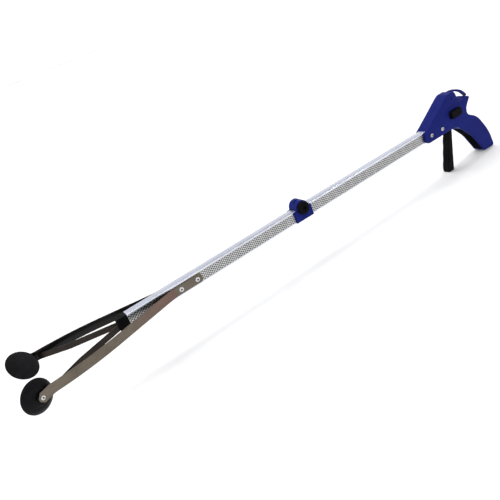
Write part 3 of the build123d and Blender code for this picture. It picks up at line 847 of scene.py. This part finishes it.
def arm_rivets():
    """Four blind rivets, each with a domed flange round its sunken stem."""
    head = domed_head(3.2, 0.3, 1.4, 14, hole=1.2)
    stem = [(1.08, 1.25), (1.0, 0.5), (0.7, 0.42), (0, 0.42)]
    profile = in_mm([(0, -4.2), (1.5, -4.2), (1.6, -4.1), (1.6, 0)] + head + stem)
    places = []
    for side in (1, -1):
        for x in rivet_xs:
            places.append((Vector((x, side * strip_outer_y, strip_middle)), (0, side, 0)))
    rivets = turned_group("arm_rivets_domed", places, profile, 48, hole=1.25 * mm)
    smooth(rivets, 32)
    finish_piece(rivets, "jaw_half", "rivet_aluminium")
    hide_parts("arm_rivets")


def cup_rivet(name, side):
    """The rivet through one tab, domed outside and spread inside the cup's hub."""
    outwards = Vector((-math.sin(tab_flare), side * math.cos(tab_flare), 0))
    along = Vector((math.cos(tab_flare), side * math.sin(tab_flare), 0))
    tip = Vector((arm_tip.x, side * arm_tip.y, strip_middle))
    origin = tip + along * cup_along + outwards * strip_thick / 2
    tail = [(0, -6.3), (2.5, -6.3), (2.6, -6.2), (2.6, -5.8), (2.5, -5.7), (1.5, -5.7), (1.5, 0)]
    stem = [(0.9, 1.0), (0.82, 0.35), (0.6, 0.3), (0, 0.3)]
    profile = in_mm(tail + domed_head(2.6, 0.25, 1.1, 14, hole=1.0) + stem)
    places = [(origin, outwards)]
    rivet = turned_group(f"{name}_cup_rivet_domed", places, profile, 48, hole=1.05 * mm)
    smooth(rivet, 32)
    finish_piece(rivet, f"{name}_arm", slot_of[f"{name}_cup_rivet"])
    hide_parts(f"{name}_cup_rivet")


handle_screws()
arm_rivets()
cup_rivet("left", 1)
cup_rivet("right", -1)


# ---------------------------------------------------------------- hinge cable


def hinge_cable():
    """A short wire rope laid from six strands."""
    low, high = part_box("hinge_cable")
    middle = (low + high) / 2
    strands = 6
    strand_radius = 0.36 * mm
    lay_radius = 0.64 * mm
    lay_length = 9 * mm
    steps = 160
    vertices = []
    faces = []
    sides = 6
    for strand in range(strands + 1):
        radius = lay_radius if strand < strands else 0
        first = len(vertices)
        for i in range(steps + 1):
            x = low.x + (high.x - low.x) * i / steps
            turn = math.tau * (strand / strands + (x - low.x) / lay_length)
            center = Vector((x, radius * math.cos(turn), middle.z + radius * math.sin(turn)))
            for j in range(sides):
                angle = math.tau * j / sides
                offset = Vector((0, math.cos(angle), math.sin(angle))) * strand_radius
                vertices.append(center + offset)
        for i in range(steps):
            for j in range(sides):
                k = (j + 1) % sides
                a = first + i * sides
                faces.append((a + j, a + k, a + sides + k, a + sides + j))
        faces.append(tuple(first + j for j in range(sides)))
        faces.append(tuple(first + steps * sides + j for j in range(sides)))
    cable = mesh_object("hinge_cable_strands", vertices, faces)
    smooth(cable, 60)
    cable.data.materials.append(materials["cable_steel"])
    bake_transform(cable)
    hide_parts("hinge_cable")


hinge_cable()


# ---------------------------------------------------------------- stage, light and camera


def stage():
    """A plain pale floor under the tool, a white wall far round it and even studio light."""
    lowest = cad_box[0][2]
    half = 30.0
    floor = mesh_object(
        "floor",
        [(-half, -half, lowest), (half, -half, lowest), (half, half, lowest), (-half, half, lowest)],
        [(0, 1, 2, 3)],
    )
    paint = Shader("floor_paint", (0.86, 0.86, 0.87), 0.8, Specular_IOR_Level=0.1)
    cloud = paint.ramp(paint.noise(3, 3), 0.3, 0.7, 0, 1)
    tone = paint.mix(cloud, (0.90, 0.90, 0.91), (0.93, 0.93, 0.93))
    paint.drive("Base Color", tone)
    floor.data.materials.append(paint.material)
    wall_radius = 12.0
    wall_top = 5.0
    segments = 96
    turns = [math.tau * i / segments for i in range(segments)]
    ring = [(wall_radius * math.cos(turn), wall_radius * math.sin(turn)) for turn in turns]
    foot = [(x, y, lowest) for x, y in ring]
    top = [(x, y, wall_top) for x, y in ring]
    panels = []
    for i in range(segments):
        j = (i + 1) % segments
        panels.append((i, j, segments + j, segments + i))
    backdrop = mesh_object("backdrop", foot + top, panels)
    white = Shader(
        "backdrop_white",
        (0.3, 0.3, 0.3),
        0.9,
        Specular_IOR_Level=0.0,
        Emission_Strength=0.89,
        Emission_Color=(1, 1, 1, 1),
    )
    drift = white.ramp(white.noise(0.4, 3), 0.3, 0.7, 0, 1)
    white.drive("Base Color", white.mix(drift, (0.28, 0.28, 0.28), (0.32, 0.32, 0.32)))
    backdrop.data.materials.append(white.material)
    world = bpy.data.worlds.new("studio")
    bpy.context.scene.world = world
    world.use_nodes = True
    background = world.node_tree.nodes["Background"]
    background.inputs["Color"].default_value = (1.0, 1.0, 1.0, 1)
    background.inputs["Strength"].default_value = 0.5


def sun_light(name, direction, strength, spread):
    """A far light that shines along a direction, with a soft edge of some degrees."""
    data = bpy.data.lights.new(name, "SUN")
    data.energy = strength
    data.angle = math.radians(spread)
    light = bpy.data.objects.new(name, data)
    light.rotation_euler = Vector(direction).to_track_quat("-Z", "Y").to_euler()
    bpy.context.scene.collection.objects.link(light)


def photo_camera():
    """A camera beside and ahead of the tool, looking down at it, rolled so the shaft climbs."""
    data = bpy.data.cameras.new("camera")
    data.sensor_width = 36
    data.lens = 41.21
    data.clip_start = 0.01
    camera = bpy.data.objects.new("camera", data)
    camera.location = (0.60126, 0.62589, 0.30660)
    camera.rotation_euler = Euler([math.radians(a) for a in (63.656, 19.483, 147.039)])
    bpy.context.scene.collection.objects.link(camera)
    bpy.context.scene.camera = camera


stage()
sun_light("key", (-0.15, 0.35, -1.0), 1.75, 50)
sun_light("corner", (0.56, 0.17, -0.80), 0.5, 8)
sun_light("side", (-0.24, -0.56, -0.78), 0.3, 26)
photo_camera()
bpy.context.scene.view_settings.view_transform = "Standard"
